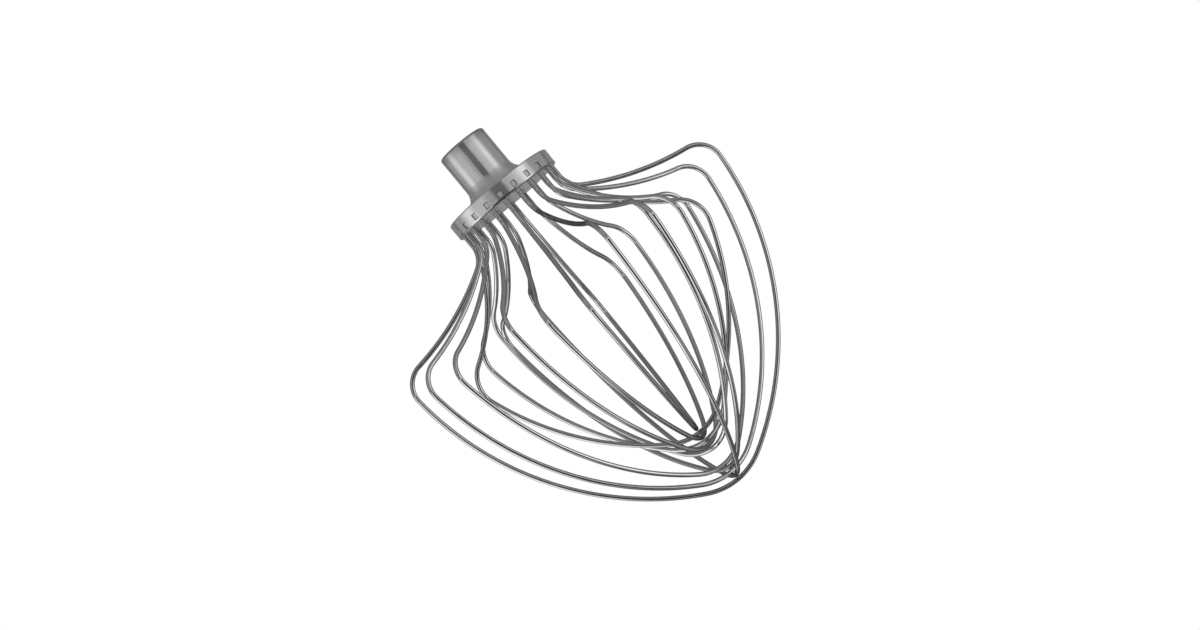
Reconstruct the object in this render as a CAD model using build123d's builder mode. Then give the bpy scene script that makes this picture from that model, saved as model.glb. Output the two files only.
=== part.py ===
from build123d import *

import os
from math import cos, radians, sin, sqrt

# Wire whisk of a planetary stand mixer: one turned hub and eleven nested wire loops.
# The origin is the centre of the shaft bore's mouth, on the stem's top face, and +Z points up out of the bore.
# Lengths are millimetres and angles are degrees.

# Drive shaft of the mixer, with the cross pin that the whisk hangs on
shaft_diameter = 12.7
shaft_clearance = 0.2
pin_diameter = 4.0
pin_reach = 2.4
pin_clearance = 0.3

# Stem
stem_diameter = 24.4
stem_height = 26.2
stem_top_round = 1.2
stem_root_fillet = 7.0
bore_depth = 28.0
pin_slot_depth = 17.0
lock_turn = 60.0

# Flange
flange_diameter = 56.0
flange_thickness = 8.0
flange_upper_round = 0.6
flange_lower_round = 1.0

# Wire, and its sockets in the flange's underside
wire_diameter = 2.2
wire_circle_diameter = 51.2
socket_depth = 6.0
socket_clearance = 0.1

# Square punch marks on the flange's rim, which stake the wire ends
stake_width = 1.8
stake_height = 2.2
stake_depth = 0.6
stake_rise = 2.8
stake_draft = 38.0

# Every loop leaves the flange straight, then bends outwards
exit_run = 5.5
exit_bend = 11.0

# Nest of loops, counted upwards from the lowest tip, each set a stride of places further round than the last
large_count = 5
small_count = 6
first_place = -5
nest_stride = 6
nest_gap = 0.1

# Large loops: drops are measured down from the flange's underside, reaches out from the axis
large_tip_drop = 163.6
large_tip_radius = 31.0
large_flank_radius = 145.0
large_shoulder_reach = 89.1
large_reach_step = -1.4
large_shoulder_drop = 43.9
large_drop_step = 1.8
large_shoulder_radius = 11.8
large_flare_radius = 128.0

# Small loops, measured in the same way
small_tip_drop = 145.4
small_tip_radius = 25.6
small_flank_radius = 135.0
small_shoulder_reach = 59.1
small_reach_step = 1.8
small_shoulder_drop = 44.9
small_drop_step = 3.9
small_shoulder_radius = 14.4
small_flare_radius = 82.0

# Sizes that follow from the ones above
stem_radius = stem_diameter / 2
flange_radius = flange_diameter / 2
flange_top = -stem_height
underside = flange_top - flange_thickness
bore_radius = (shaft_diameter + shaft_clearance) / 2
slot_width = pin_diameter + pin_clearance
slot_radius = shaft_diameter / 2 + pin_reach + pin_clearance
wire_radius = wire_diameter / 2
wire_circle_radius = wire_circle_diameter / 2
socket_radius = (wire_diameter + socket_clearance) / 2
socket_floor = underside + socket_depth
loop_count = large_count + small_count
socket_count = 2 * loop_count
nest_pitch = wire_diameter + nest_gap
bend_height = underside - exit_run

# Places are counted round from -Y
start_angle = -90


def at_distances(first, first_distance, second, second_distance, side):
    """Point at two given distances from two points, to the left (1) or right (-1) of the line between them."""
    line = second - first
    along = (first_distance**2 - second_distance**2 + line.length**2) / (2 * line.length)
    across = sqrt(first_distance**2 - along**2)
    left = Vector(-line.Y, line.X).normalized()
    return first + line.normalized() * along + left * (side * across)


def towards(point, target, distance):
    """Point at a distance from another, in the direction of a target, as a pair of plane coordinates."""
    reached = point + (target - point).normalized() * distance
    return (reached.X, reached.Y)


def half_loop(tip_height, tip_radius, flank_radius, reach, shoulder_height, shoulder_radius, flare_radius):
    """Ends of the tangent runs of half a loop, from its socket's floor to its tip, as pairs of out and up."""
    bend_centre = Vector(wire_circle_radius + exit_bend, bend_height)
    shoulder_centre = Vector(reach - shoulder_radius, shoulder_height)
    tip_centre = Vector(0, tip_height + tip_radius)
    flare_centre = at_distances(
        bend_centre, flare_radius - exit_bend, shoulder_centre, flare_radius + shoulder_radius, 1
    )
    flank_centre = at_distances(
        shoulder_centre, flank_radius - shoulder_radius, tip_centre, flank_radius - tip_radius, -1
    )
    return [
        (wire_circle_radius, socket_floor),
        (wire_circle_radius, bend_height),
        towards(bend_centre, flare_centre, -exit_bend),
        towards(shoulder_centre, flare_centre, shoulder_radius),
        towards(shoulder_centre, flank_centre, -shoulder_radius),
        towards(tip_centre, flank_centre, -tip_radius),
        (0, tip_height),
    ]


def large_half(step):
    """Half of a large loop, some steps up the nest from the lowest one."""
    return half_loop(
        tip_height=underside - large_tip_drop + step * nest_pitch,
        tip_radius=large_tip_radius,
        flank_radius=large_flank_radius,
        reach=large_shoulder_reach + step * large_reach_step,
        shoulder_height=underside - large_shoulder_drop - step * large_drop_step,
        shoulder_radius=large_shoulder_radius,
        flare_radius=large_flare_radius,
    )


def small_half(step):
    """Half of a small loop, some steps up the nest from the lowest small one."""
    return half_loop(
        tip_height=underside - small_tip_drop + step * nest_pitch,
        tip_radius=small_tip_radius,
        flank_radius=small_flank_radius,
        reach=small_shoulder_reach + step * small_reach_step,
        shoulder_height=underside - small_shoulder_drop - step * small_drop_step,
        shoulder_radius=small_shoulder_radius,
        flare_radius=small_flare_radius,
    )


def wire_loop(half, rank):
    """One bent wire, in the upright plane of its two opposite sockets."""
    angle = radians(start_angle + (first_place + nest_stride * rank) * 360 / socket_count)
    outwards = (cos(angle), sin(angle), 0)
    across = (sin(angle), -cos(angle), 0)
    other_half = [(-out, up) for out, up in reversed(half[:-1])]
    with BuildPart() as wire:
        with BuildLine(Plane(origin=(0, 0, 0), x_dir=outwards, z_dir=across)):
            first_run = Line(half[0], half[1])
            run = first_run
            for bend_end in half[2:] + other_half[:-1]:
                run = TangentArc(run @ 1, bend_end, tangent=run % 1)
            Line(run @ 1, other_half[-1])
        with BuildSketch(Plane(origin=first_run @ 0, z_dir=first_run % 0)):
            Circle(wire_radius)
        sweep()
    return wire


os.makedirs("parts", exist_ok=True)

# Punch for the stake marks: it stands on the floor of one mark and widens out past the rim
with BuildPart() as punch:
    with BuildSketch(Plane.YZ.offset(flange_radius - stake_depth)):
        with Locations((0, underside + stake_rise)):
            Rectangle(stake_width, stake_height)
    extrude(amount=2 * stake_depth, taper=-stake_draft)

# Hub: stem and flange turned as one piece
with BuildPart() as hub:
    with BuildSketch(Plane.XZ):
        with BuildLine():
            turned = FilletPolyline(
                (0, 0),
                (stem_radius, 0),
                (stem_radius, flange_top),
                (flange_radius, flange_top),
                (flange_radius, underside),
                (0, underside),
                radius=[stem_top_round, stem_root_fillet, flange_upper_round, flange_lower_round],
            )
            Line(turned @ 1, turned @ 0)
        make_face()
    revolve(axis=Axis.Z)
    # Shaft bore
    with BuildSketch(Plane.XY):
        Circle(bore_radius)
    extrude(amount=-bore_depth, mode=Mode.SUBTRACT)
    # Slot that the cross pin drops down
    with BuildSketch(Plane.XY):
        Rectangle(slot_radius, slot_width, align=(Align.MIN, Align.CENTER))
    extrude(amount=-pin_slot_depth, mode=Mode.SUBTRACT)
    # Pocket at the foot of the slot, which the pin turns into
    with BuildSketch(Plane.XY.offset(-pin_slot_depth)):
        with BuildLine():
            arc = CenterArc((0, 0), slot_radius, 0, lock_turn)
            Line((0, 0), arc @ 0)
            Line(arc @ 1, (0, 0))
        make_face()
        with Locations(Rotation(0, 0, lock_turn)):
            Rectangle(slot_radius, slot_width, align=(Align.MIN, Align.CENTER))
    extrude(amount=slot_width, mode=Mode.SUBTRACT)
    # Wire sockets
    with BuildSketch(Plane.XY.offset(underside)):
        with PolarLocations(wire_circle_radius, socket_count, start_angle=start_angle):
            Circle(socket_radius)
    extrude(amount=socket_depth, mode=Mode.SUBTRACT)
    # Stake marks, one beside each socket
    with PolarLocations(0, socket_count, start_angle=start_angle):
        add(punch.part, mode=Mode.SUBTRACT)
hub.part.label = "hub"
export_step(hub.part, "parts/hub.step")

# Wire loops, from the lowest tip upwards
for step in range(large_count):
    loop = wire_loop(large_half(step), step)
    loop.part.label = f"wire_large_{step + 1}"
    export_step(loop.part, f"parts/wire_large_{step + 1}.step")

for step in range(small_count):
    loop = wire_loop(small_half(step), large_count + step)
    loop.part.label = f"wire_small_{step + 1}"
    export_step(loop.part, f"parts/wire_small_{step + 1}.step")
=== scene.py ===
from math import ceil, cos, degrees, pi, radians, sin, sqrt

import bpy
from mathutils import Matrix, Vector


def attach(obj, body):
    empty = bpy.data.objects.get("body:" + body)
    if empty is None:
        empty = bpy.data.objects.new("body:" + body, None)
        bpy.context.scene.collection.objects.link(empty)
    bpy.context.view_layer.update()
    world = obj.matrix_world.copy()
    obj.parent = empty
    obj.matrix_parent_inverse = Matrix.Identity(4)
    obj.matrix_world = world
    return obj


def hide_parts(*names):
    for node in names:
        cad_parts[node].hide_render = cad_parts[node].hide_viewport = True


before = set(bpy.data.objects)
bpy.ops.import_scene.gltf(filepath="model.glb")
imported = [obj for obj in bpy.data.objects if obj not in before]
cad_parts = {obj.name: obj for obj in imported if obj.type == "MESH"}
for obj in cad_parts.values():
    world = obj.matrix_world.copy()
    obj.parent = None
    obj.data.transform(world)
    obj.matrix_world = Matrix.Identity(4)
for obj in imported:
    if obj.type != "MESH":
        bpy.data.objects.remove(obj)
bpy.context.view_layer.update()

# Wire whisk of a planetary stand mixer, in metres, in the frame of the solids:
# the origin is the mouth of the shaft bore, +Z points up out of it and the cage hangs below.
MM = 0.001

# Sizes of the wire loops, the same as those of the solids
underside = -34.2 * MM
socket_depth = 6.0 * MM
wire_radius = 1.1 * MM
wire_circle_radius = 25.6 * MM
exit_run = 5.5 * MM
exit_bend = 11.0 * MM
socket_count = 22
first_place = -5
nest_stride = 6
nest_pitch = 2.3 * MM
start_angle = -90

large = {
    "count": 5,
    "tip_drop": 163.6 * MM,
    "tip_radius": 31.0 * MM,
    "flank_radius": 145.0 * MM,
    "shoulder_reach": 89.1 * MM,
    "reach_step": -1.4 * MM,
    "shoulder_drop": 43.9 * MM,
    "drop_step": 1.8 * MM,
    "shoulder_radius": 11.8 * MM,
    "flare_radius": 128.0 * MM,
}
small = {
    "count": 6,
    "tip_drop": 145.4 * MM,
    "tip_radius": 25.6 * MM,
    "flank_radius": 135.0 * MM,
    "shoulder_reach": 59.1 * MM,
    "reach_step": 1.8 * MM,
    "shoulder_drop": 44.9 * MM,
    "drop_step": 3.9 * MM,
    "shoulder_radius": 14.4 * MM,
    "flare_radius": 82.0 * MM,
}

# Fineness of the wires' meshes
wire_sides = 24
longest_step = 1.6 * MM
widest_turn = radians(4)

# Places on the hub where its finish and its painted light and shade change, the same as those of the
# solids
fillet_top = -19.2 * MM
flange_top = -26.2 * MM
face_slack = 0.1 * MM
rim_radius = 28.0 * MM
rim_round = 1.0 * MM
rim_slack = 0.08 * MM
mark_depth = 0.6 * MM
mark_middle = underside + 2.8 * MM
mark_reach = 1.8 * MM
mark_slack = 0.04 * MM

# Finishes and painted light and shade: linear greys and roughnesses, each pair from the least to the
# most.
# A roughening is added to the roughness, and one below 0 smooths.
wire_greys = (0.48, 0.56)
wire_roughness = (0.05, 0.10)
wire_edge_grey = 0.28
# Painted shade: the wires' colour darkens just below the flange
root_shade_grey = 0.31
root_roughening = 0.2
root_start = underside - 5.0 * MM
root_end = underside - 7.5 * MM
hub_greys = (0.60, 0.66)
hub_roughness = (0.22, 0.30)
# Painted shade: the stem's colour darkens towards its top edge
stem_top_shade_grey = 0.43
stem_top_shade = (-5.0 * MM, -1.0 * MM)
# Painted light: the fillet's colour is made paler
fillet_light_grey = 0.74
fillet_roughening = 0.2
fillet_onset = 2.0 * MM
# Painted light: the flange's underside is made paler
underside_light_grey = 0.80
# Painted shade: the rim's lower round is darkened
rim_round_shade_grey = 0.44
rim_round_roughening = -0.08
mark_floor_grey = 0.78
mark_floor_roughening = 0.65
# Painted shade: the punch marks' walls are darkened
mark_wall_shade_grey = 0.36
mark_wall_roughening = 0.2

# Patterns in the finishes: each noise has a scale and a detail, each bump a distance and a strength,
# and each share is the first pattern's in a blend
noise_middle = (0.3, 0.7)
streak_pace = 25.0
streak_noise = (6.0, 4.0)
wire_patch_noise = (70.0, 3.0)
streak_share = 0.5
wire_bump = (0.03 * MM, 0.25)
ring_noise = (2600.0, 3.0)
grain_noise = (1500.0, 3.0)
hub_patch_noise = (120.0, 4.0)
ring_share = 0.7
turning_share = 0.5
hub_bump = (0.02 * MM, 0.15)
ring_stretch = 0.9
ring_stretch_turn = 0.25


# Wire loops

def at_distances(first, first_distance, second, second_distance, side):
    """Point at two distances from two points, to the left (1) or right (-1) of the line between them."""
    line = second - first
    along = (first_distance**2 - second_distance**2 + line.length_squared) / (2 * line.length)
    across = sqrt(first_distance**2 - along**2)
    left = Vector((-line.y, line.x)).normalized()
    return first + line.normalized() * along + left * (side * across)


def towards(point, target, distance):
    """Point at a distance from another, in the direction of a target."""
    return point + (target - point).normalized() * distance


def arc(centre, start, end):
    """Points along the shorter arc round a centre, after its start and up to its end."""
    spoke = start - centre
    turn = spoke.angle_signed(end - centre)
    steps = ceil(max(abs(turn) / widest_turn, abs(turn) * spoke.length / longest_step))
    points = []
    for step in range(1, steps + 1):
        rotation = Matrix.Rotation(-turn * step / steps, 2)
        points.append(centre + rotation @ spoke)
    return points


def half_loop(size, step):
    """Centre line of half a loop, from its socket's floor to its tip, as pairs of out and up."""
    tip = Vector((0, underside - size["tip_drop"] + step * nest_pitch))
    reach = size["shoulder_reach"] + step * size["reach_step"]
    shoulder_height = underside - size["shoulder_drop"] - step * size["drop_step"]
    tip_radius = size["tip_radius"]
    flank_radius = size["flank_radius"]
    shoulder_radius = size["shoulder_radius"]
    flare_radius = size["flare_radius"]
    socket_floor = Vector((wire_circle_radius, underside + socket_depth))
    bend_start = Vector((wire_circle_radius, underside - exit_run))
    bend_centre = bend_start + Vector((exit_bend, 0))
    shoulder_centre = Vector((reach - shoulder_radius, shoulder_height))
    tip_centre = tip + Vector((0, tip_radius))
    flare_centre = at_distances(
        bend_centre, flare_radius - exit_bend, shoulder_centre, flare_radius + shoulder_radius, 1
    )
    flank_centre = at_distances(
        shoulder_centre, flank_radius - shoulder_radius, tip_centre, flank_radius - tip_radius, -1
    )
    flare_start = towards(bend_centre, flare_centre, -exit_bend)
    shoulder_start = towards(shoulder_centre, flare_centre, shoulder_radius)
    flank_start = towards(shoulder_centre, flank_centre, -shoulder_radius)
    tip_start = towards(tip_centre, flank_centre, -tip_radius)
    steps = ceil((socket_floor - bend_start).length / longest_step)
    points = [socket_floor.lerp(bend_start, index / steps) for index in range(steps + 1)]
    points += arc(bend_centre, bend_start, flare_start)
    points += arc(flare_centre, flare_start, shoulder_start)
    points += arc(shoulder_centre, shoulder_start, flank_start)
    points += arc(flank_centre, flank_start, tip_start)
    points += arc(tip_centre, tip_start, tip)
    return points


def new_object(name, mesh):
    """Object with a mesh, in the scene."""
    piece = bpy.data.objects.new(name, mesh)
    bpy.context.scene.collection.objects.link(piece)
    return piece


def set_uvs(mesh, name, uvs):
    """New UV layer with a pair for each corner of the faces, in their order."""
    layer = mesh.uv_layers.new(name=name)
    for corner, uv in zip(layer.data, uvs):
        corner.uv = uv


def tube(name, line, outwards):
    """Mesh of a round wire along a line of pairs of out and up, with its length and its turn as UVs."""
    upwards = Vector((0, 0, 1))
    sideways = outwards.cross(upwards)
    vertices = []
    lengths = [0.0]
    for index, point in enumerate(line):
        before = line[max(index - 1, 0)]
        after = line[min(index + 1, len(line) - 1)]
        tangent = (after - before).normalized()
        normal = outwards * -tangent.y + upwards * tangent.x
        centre = outwards * point.x + upwards * point.y
        if index:
            lengths.append(lengths[-1] + (point - before).length)
        for side in range(wire_sides):
            turn = 2 * pi * side / wire_sides
            vertices.append(centre + (normal * cos(turn) + sideways * sin(turn)) * wire_radius)
    faces = []
    uvs = []
    for ring in range(len(line) - 1):
        near, far = lengths[ring], lengths[ring + 1]
        first = ring * wire_sides
        second = first + wire_sides
        for side in range(wire_sides):
            following = (side + 1) % wire_sides
            here, there = side / wire_sides, (side + 1) / wire_sides
            faces.append((first + side, second + side, second + following, first + following))
            uvs += [(near, here), (far, here), (far, there), (near, there)]
    # The two ends are flat
    wall_count = len(faces)
    last = (len(line) - 1) * wire_sides
    faces.append(tuple(range(wire_sides)))
    faces.append(tuple(last + side for side in reversed(range(wire_sides))))
    uvs += [(0.0, 0.0)] * wire_sides + [(lengths[-1], 0.0)] * wire_sides
    mesh = bpy.data.meshes.new(name)
    mesh.from_pydata(vertices, [], faces)
    set_uvs(mesh, "along_and_round", uvs)
    mesh.polygons.foreach_set("use_smooth", [index < wall_count for index in range(len(faces))])
    mesh.update()
    return mesh


def wire_loop(name, size, step, rank, material):
    """One bent wire as a smooth round tube, which stands for its solid."""
    half = half_loop(size, step)
    line = half + [Vector((-point.x, point.y)) for point in reversed(half[:-1])]
    angle = radians(start_angle + (first_place + nest_stride * rank) * 360 / socket_count)
    mesh = tube(name, line, Vector((cos(angle), sin(angle), 0)))
    mesh.materials.append(material)
    piece = new_object(name + "_drawn", mesh)
    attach(piece, "root")
    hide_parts(name)


# Materials

def new_material(name):
    """Material with a node tree that holds only an output."""
    material = bpy.data.materials.new(name)
    material.use_nodes = True
    tree = material.node_tree
    tree.nodes.clear()
    output = tree.nodes.new("ShaderNodeOutputMaterial")
    return material, tree, output


def feed(tree, socket, value):
    """Link a socket to another one, or set it to a value."""
    if isinstance(value, bpy.types.NodeSocket):
        tree.links.new(value, socket)
    else:
        socket.default_value = value


def maths(tree, operation, first, second=0.0):
    """Output of a sum on one or two sockets or numbers."""
    node = tree.nodes.new("ShaderNodeMath")
    node.operation = operation
    feed(tree, node.inputs[0], first)
    feed(tree, node.inputs[1], second)
    return node.outputs[0]


def blend(tree, first, second, share):
    """Two values mixed: a share of the first, and the rest of the second."""
    first_part = maths(tree, "MULTIPLY", first, share)
    second_part = maths(tree, "MULTIPLY", second, 1 - share)
    return maths(tree, "ADD", first_part, second_part)


def add_where(tree, value, mask, amount):
    """A value with an amount added to it where a mask is 1."""
    return maths(tree, "ADD", value, maths(tree, "MULTIPLY", mask, amount))


def within(tree, value, low, high):
    """1 where a value lies between two limits, and 0 elsewhere."""
    above = maths(tree, "GREATER_THAN", value, low)
    below = maths(tree, "LESS_THAN", value, high)
    return maths(tree, "MULTIPLY", above, below)


def noise(tree, vector, scale, detail):
    """Output of a noise texture on a vector."""
    node = tree.nodes.new("ShaderNodeTexNoise")
    node.inputs["Scale"].default_value = scale
    node.inputs["Detail"].default_value = detail
    tree.links.new(vector, node.inputs["Vector"])
    return node.outputs["Fac"]


def ramp(tree, value, start, end, low=0.0, high=1.0):
    """Output that goes from low to high as a value goes from start to end, and is level beyond them."""
    node = tree.nodes.new("ShaderNodeMapRange")
    node.inputs["From Min"].default_value = start
    node.inputs["From Max"].default_value = end
    node.inputs["To Min"].default_value = low
    node.inputs["To Max"].default_value = high
    tree.links.new(value, node.inputs["Value"])
    return node.outputs["Result"]


def spread(tree, value, low, high):
    """Output that goes from low to high over the range that most of a noise lies in."""
    return ramp(tree, value, *noise_middle, low, high)


def grey(level):
    """Opaque colour of a linear grey."""
    return (level, level, level, 1)


def mix_colours(tree, factor, first, second):
    """Colour that goes from the first of two colours or sockets to the second."""
    node = tree.nodes.new("ShaderNodeMix")
    node.data_type = "RGBA"
    sockets = [socket for socket in node.inputs if socket.type == "RGBA"]
    feed(tree, node.inputs["Factor"], factor)
    feed(tree, sockets[0], first)
    feed(tree, sockets[1], second)
    return [socket for socket in node.outputs if socket.type == "RGBA"][0]


def steel_shader(tree, output, colour, roughness, height, bump_distance, bump_strength):
    """Metal shader with its colour, roughness and bump linked."""
    shader = tree.nodes.new("ShaderNodeBsdfPrincipled")
    shader.inputs["Metallic"].default_value = 1.0
    tree.links.new(colour, shader.inputs["Base Color"])
    tree.links.new(roughness, shader.inputs["Roughness"])
    bump = tree.nodes.new("ShaderNodeBump")
    bump.inputs["Strength"].default_value = bump_strength
    bump.inputs["Distance"].default_value = bump_distance
    tree.links.new(height, bump.inputs["Height"])
    tree.links.new(bump.outputs["Normal"], shader.inputs["Normal"])
    tree.links.new(shader.outputs["BSDF"], output.inputs["Surface"])
    return shader


def wire_steel():
    """Drawn wire: long fine streaks along it, and slow changes of polish."""
    material, tree, output = new_material("wire_steel_drawn")
    coordinates = tree.nodes.new("ShaderNodeTexCoord")
    split = tree.nodes.new("ShaderNodeSeparateXYZ")
    tree.links.new(coordinates.outputs["UV"], split.inputs["Vector"])
    # The streaks lie on a round bar, so that they close up where the turn starts again.
    # They change slowly along it.
    streak_vector = tree.nodes.new("ShaderNodeCombineXYZ")
    turn = maths(tree, "MULTIPLY", split.outputs["Y"], 2 * pi)
    tree.links.new(maths(tree, "MULTIPLY", split.outputs["X"], streak_pace), streak_vector.inputs["X"])
    tree.links.new(maths(tree, "COSINE", turn), streak_vector.inputs["Y"])
    tree.links.new(maths(tree, "SINE", turn), streak_vector.inputs["Z"])
    streaks = noise(tree, streak_vector.outputs["Vector"], *streak_noise)
    patches = noise(tree, coordinates.outputs["Object"], *wire_patch_noise)
    wear = blend(tree, streaks, patches, streak_share)
    darkest, lightest = wire_greys
    colour = mix_colours(tree, spread(tree, wear, 0.0, 1.0), grey(darkest), grey(lightest))
    roughness = spread(tree, wear, *wire_roughness)
    # The ends by the flange are duller, and their colour is darkened there as painted shade under the
    # flange
    place = tree.nodes.new("ShaderNodeSeparateXYZ")
    tree.links.new(coordinates.outputs["Object"], place.inputs["Vector"])
    root_shade_and_dulling = ramp(tree, place.outputs["Z"], root_end, root_start)
    colour = mix_colours(tree, root_shade_and_dulling, colour, grey(root_shade_grey))
    roughness = add_where(tree, roughness, root_shade_and_dulling, root_roughening)
    shader = steel_shader(tree, output, colour, roughness, streaks, *wire_bump)
    shader.inputs["Specular Tint"].default_value = grey(wire_edge_grey)
    return material


def hub_steel():
    """Satin turned steel: fine rings round the axis, a slight grain, and matt punch marks on the rim."""
    material, tree, output = new_material("hub_steel_turned")
    coordinates = tree.nodes.new("ShaderNodeTexCoord")
    split = tree.nodes.new("ShaderNodeSeparateXYZ")
    tree.links.new(coordinates.outputs["Object"], split.inputs["Vector"])
    x, y, z = split.outputs
    squares = [maths(tree, "MULTIPLY", part, part) for part in (x, y)]
    across = maths(tree, "SQRT", maths(tree, "ADD", *squares))
    ring_vector = tree.nodes.new("ShaderNodeCombineXYZ")
    tree.links.new(across, ring_vector.inputs["X"])
    tree.links.new(z, ring_vector.inputs["Y"])
    rings = noise(tree, ring_vector.outputs["Vector"], *ring_noise)
    grain = noise(tree, coordinates.outputs["Object"], *grain_noise)
    patches = noise(tree, coordinates.outputs["Object"], *hub_patch_noise)
    turning = blend(tree, rings, grain, ring_share)
    # The punch marks have pale, matt floors, and their walls are darkened as painted shade in the
    # recesses
    floor_radius = rim_radius - mark_depth
    wall_start = floor_radius + mark_slack
    marks = within(tree, z, mark_middle - mark_reach, mark_middle + mark_reach)
    floors = maths(tree, "MULTIPLY", marks, within(tree, across, floor_radius - mark_slack, wall_start))
    walls = maths(tree, "MULTIPLY", marks, within(tree, across, wall_start, rim_radius - rim_slack))
    darkest, lightest = hub_greys
    colour = mix_colours(tree, spread(tree, patches, 0.0, 1.0), grey(darkest), grey(lightest))
    colour = mix_colours(tree, floors, colour, grey(mark_floor_grey))
    colour = mix_colours(tree, walls, colour, grey(mark_wall_shade_grey))
    # The stem's colour is darkened towards its top edge as painted shade, and the flange's underside is
    # made paler as painted light
    below_top = maths(tree, "LESS_THAN", z, -face_slack)
    stem_top_painted_shade = maths(tree, "MULTIPLY", ramp(tree, z, *stem_top_shade), below_top)
    colour = mix_colours(tree, stem_top_painted_shade, colour, grey(stem_top_shade_grey))
    underside_painted_light = maths(tree, "LESS_THAN", z, underside + face_slack)
    colour = mix_colours(tree, underside_painted_light, colour, grey(underside_light_grey))
    # The stem's fillet is rougher, and its colour is made paler as painted light; the rim's lower round
    # is smoother, and its colour is darkened as painted shade
    above_flange = maths(tree, "GREATER_THAN", z, flange_top - face_slack)
    fillet = maths(tree, "MULTIPLY", ramp(tree, z, fillet_top, fillet_top - fillet_onset), above_flange)
    colour = mix_colours(tree, fillet, colour, grey(fillet_light_grey))
    low = maths(tree, "LESS_THAN", z, underside + rim_round)
    outer = maths(tree, "GREATER_THAN", across, rim_radius - rim_round)
    rounded = maths(tree, "MULTIPLY", low, outer)
    colour = mix_colours(tree, rounded, colour, grey(rim_round_shade_grey))
    roughness = spread(tree, blend(tree, turning, patches, turning_share), *hub_roughness)
    roughness = add_where(tree, roughness, fillet, fillet_roughening)
    roughness = add_where(tree, roughness, rounded, rim_round_roughening)
    roughness = add_where(tree, roughness, floors, mark_floor_roughening)
    roughness = add_where(tree, roughness, walls, mark_wall_roughening)
    shader = steel_shader(tree, output, colour, roughness, turning, *hub_bump)
    # The turned rings stretch the highlights along the axis
    shader.inputs["Anisotropic"].default_value = ring_stretch
    shader.inputs["Anisotropic Rotation"].default_value = ring_stretch_turn
    tangent = tree.nodes.new("ShaderNodeTangent")
    tangent.direction_type = "RADIAL"
    tangent.axis = "Z"
    tree.links.new(tangent.outputs["Tangent"], shader.inputs["Tangent"])
    return material


wire_material = wire_steel()
for step in range(large["count"]):
    wire_loop(f"wire_large_{step + 1}", large, step, step, wire_material)
for step in range(small["count"]):
    wire_loop(f"wire_small_{step + 1}", small, step, large["count"] + step, wire_material)

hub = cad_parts["hub"]
hub.data.materials.clear()
hub.data.materials.append(hub_steel())


# Camera: it stands in front of the cage, is panned round the axis and rolled to one side

camera_pan = radians(1.778)
camera_pitch = radians(0.992)
camera_roll = radians(50.40)
camera_place = Vector((-0.81, -1043.98, -118.5)) * MM
camera_lens = 68.84
camera_sensor_width = 36.0
camera_reach = (0.01, 50.0)

panned = Matrix.Rotation(camera_pan, 3, "Z")
level_right = Vector((1, 0, 0))
level_up = Vector((0, -sin(camera_pitch), cos(camera_pitch)))
forward = Vector((0, cos(camera_pitch), sin(camera_pitch)))
camera_right = panned @ (level_right * sin(camera_roll) - level_up * cos(camera_roll))
camera_up = panned @ (level_right * cos(camera_roll) + level_up * sin(camera_roll))
camera_back = panned @ -forward
camera_data = bpy.data.cameras.new("camera")
camera_data.sensor_width = camera_sensor_width
camera_data.lens = camera_lens
camera_data.clip_start, camera_data.clip_end = camera_reach
camera = bpy.data.objects.new("camera", camera_data)
camera_axes = Matrix((camera_right, camera_up, camera_back)).transposed()
camera.matrix_world = Matrix.Translation(panned @ camera_place) @ camera_axes.to_4x4()
bpy.context.scene.collection.objects.link(camera)
bpy.context.scene.camera = camera


# Studio: a white world with a pale floor, and panels round the object that the metal reflects

camera_azimuth = degrees(camera_pan) - 90
studio_middle = Vector((0, 0, -100 * MM))
panel_columns = 24
panel_rows = 12
floor_sides = 96


def white_world():
    """World that is plain white all round."""
    world = bpy.data.worlds.new("surround")
    bpy.context.scene.world = world
    world.use_nodes = True
    tree = world.node_tree
    tree.nodes.clear()
    output = tree.nodes.new("ShaderNodeOutputWorld")
    white = tree.nodes.new("ShaderNodeBackground")
    white.inputs["Color"].default_value = grey(1)
    white.inputs["Strength"].default_value = 1.0
    tree.links.new(white.outputs["Background"], output.inputs["Surface"])


def see_through(tree, surface, factor):
    """Shader that is clear where a factor is 0 and shows a surface where it is 1."""
    clear = tree.nodes.new("ShaderNodeBsdfTransparent")
    mix = tree.nodes.new("ShaderNodeMixShader")
    tree.links.new(factor, mix.inputs["Fac"])
    tree.links.new(clear.outputs["BSDF"], mix.inputs[1])
    tree.links.new(surface, mix.inputs[2])
    return mix.outputs["Shader"]


def fade_to_edges(tree):
    """1 in the middle of a panel and 0 along its edges."""
    coordinates = tree.nodes.new("ShaderNodeTexCoord")
    split = tree.nodes.new("ShaderNodeSeparateXYZ")
    tree.links.new(coordinates.outputs["UV"], split.inputs["Vector"])
    # The product of the distances from two opposite edges is a quarter in the middle
    lift = 4.0
    fades = []
    for along in (split.outputs["X"], split.outputs["Y"]):
        rest = maths(tree, "SUBTRACT", 1.0, along)
        fades.append(maths(tree, "MULTIPLY", maths(tree, "MULTIPLY", along, rest), lift))
    return maths(tree, "MULTIPLY", *fades)


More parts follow.
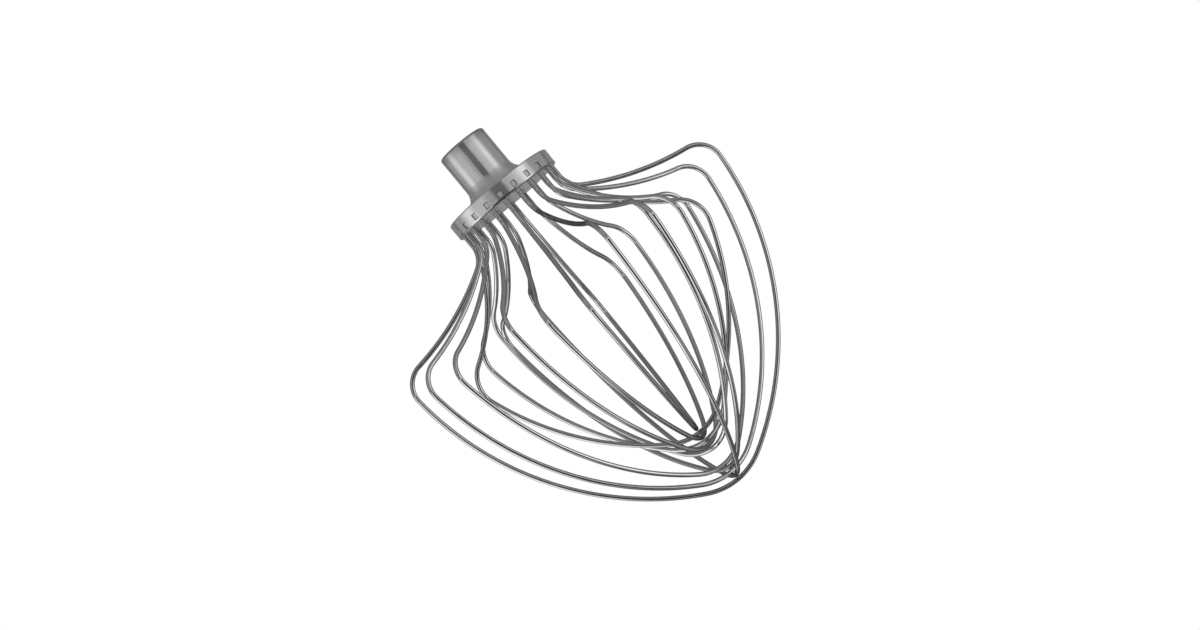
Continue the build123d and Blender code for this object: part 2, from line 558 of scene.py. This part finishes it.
def panel(name, azimuths, elevations, distance, glow, soft=False):
    """Glowing part of a ball round the object, which is seen only in reflections.

    It lies between two azimuths, counted from the camera's, and two elevations. A nearer panel hides the
    ones behind it, and a soft one fades out to its edges.
    """
    vertices = []
    for row in range(panel_rows + 1):
        elevation = radians(elevations[0] + (elevations[1] - elevations[0]) * row / panel_rows)
        for column in range(panel_columns + 1):
            turn = azimuths[0] + (azimuths[1] - azimuths[0]) * column / panel_columns
            azimuth = radians(camera_azimuth + turn)
            level = Vector((cos(azimuth), sin(azimuth), 0)) * cos(elevation)
            vertices.append(studio_middle + (level + Vector((0, 0, sin(elevation)))) * distance)
    faces = []
    uvs = []
    for row in range(panel_rows):
        low, high = row / panel_rows, (row + 1) / panel_rows
        for column in range(panel_columns):
            left, right = column / panel_columns, (column + 1) / panel_columns
            near = row * (panel_columns + 1) + column
            far = near + panel_columns + 1
            faces.append((near, near + 1, far + 1, far))
            uvs += [(left, low), (right, low), (right, high), (left, high)]
    mesh = bpy.data.meshes.new(name)
    mesh.from_pydata(vertices, [], faces)
    set_uvs(mesh, "across_and_up", uvs)
    material, tree, output = new_material(name)
    emission = tree.nodes.new("ShaderNodeEmission")
    emission.inputs["Strength"].default_value = glow
    surface = emission.outputs["Emission"]
    if soft:
        surface = see_through(tree, surface, fade_to_edges(tree))
    tree.links.new(surface, output.inputs["Surface"])
    mesh.materials.append(material)
    piece = new_object(name, mesh)
    piece.visible_camera = False
    piece.visible_diffuse = False
    piece.visible_shadow = False


def pale_floor(height, radius, level):
    """Pale round floor that fades into the white world at its edge and takes the object's shadow."""
    turns = [2 * pi * side / floor_sides for side in range(floor_sides)]
    edge = [(radius * cos(turn), radius * sin(turn), 0) for turn in turns]
    mesh = bpy.data.meshes.new("floor")
    mesh.from_pydata(edge, [], [range(floor_sides)])
    material, tree, output = new_material("floor")
    coordinates = tree.nodes.new("ShaderNodeTexCoord")
    scaled = tree.nodes.new("ShaderNodeMapping")
    scaled.inputs["Scale"].default_value = (1 / radius, 1 / radius, 1 / radius)
    tree.links.new(coordinates.outputs["Object"], scaled.inputs["Vector"])
    fade = tree.nodes.new("ShaderNodeTexGradient")
    fade.gradient_type = "QUADRATIC_SPHERE"
    tree.links.new(scaled.outputs["Vector"], fade.inputs["Vector"])
    pale = tree.nodes.new("ShaderNodeBsdfDiffuse")
    pale.inputs["Color"].default_value = grey(level)
    surface = see_through(tree, pale.outputs["BSDF"], fade.outputs["Fac"])
    tree.links.new(surface, output.inputs["Surface"])
    mesh.materials.append(material)
    floor = new_object("floor", mesh)
    floor.location = (0, 0, height)
    floor.visible_glossy = False


white_world()
pale_floor(height=-620 * MM, radius=500 * MM, level=0.85)
# Two soft lamps, left and right of the camera, with a dark gap of two flags and a slit between them.
# A low wing carries the left lamp round.
panel("flag", azimuths=(-30, 30), elevations=(-46, 6.5), distance=0.5, glow=0.04)
panel("flag_right", azimuths=(31, 44), elevations=(-3, 6), distance=0.5, glow=0.2)
panel("lamp_left", azimuths=(-100, -53), elevations=(-56, 14), distance=1.2, glow=2.4, soft=True)
panel("wing_left", azimuths=(-140, -98), elevations=(-48, -16), distance=0.55, glow=0.9)
panel("lamp_right", azimuths=(40, 79), elevations=(-44, 15), distance=1.2, glow=2.3, soft=True)
panel("slit", azimuths=(-14, 14), elevations=(-12, 25), distance=1.25, glow=0.14)
# Pale walls beside the gap
panel("belt_left", azimuths=(-52, -10), elevations=(-3, 10), distance=1.3, glow=0.98)
panel("belt_right", azimuths=(10, 44), elevations=(-3, 12), distance=1.3, glow=1.24)
panel("room_left", azimuths=(-56, 0), elevations=(-46, 10), distance=1.4, glow=0.85)
panel("room_right", azimuths=(0, 45), elevations=(-44, 12), distance=1.4, glow=0.66)
# Grey surroundings
panel("side_left", azimuths=(-125, -94), elevations=(-4, 18), distance=1.4, glow=0.5)
panel("side_right", azimuths=(76, 125), elevations=(-4, 18), distance=1.4, glow=0.45)
panel("above", azimuths=(-32, 32), elevations=(14, 50), distance=1.5, glow=0.47)
panel("low_left", azimuths=(-125, -28), elevations=(-60, -46), distance=1.5, glow=0.42)
panel("low_right", azimuths=(45, 130), elevations=(-76, -46), distance=1.5, glow=0.52)
panel("back", azimuths=(135, 225), elevations=(-35, 40), distance=1.55, glow=0.3)
panel("ceiling", azimuths=(-180, 180), elevations=(45, 90), distance=1.6, glow=0.28)
panel("ground", azimuths=(-180, 180), elevations=(-90, -60), distance=1.6, glow=0.13)
panel("rear", azimuths=(100, 260), elevations=(-55, 45), distance=1.6, glow=0.2)
panel("surround", azimuths=(-180, 180), elevations=(-90, 90), distance=1.8, glow=0.37)

bpy.context.scene.view_settings.view_transform = "Standard"
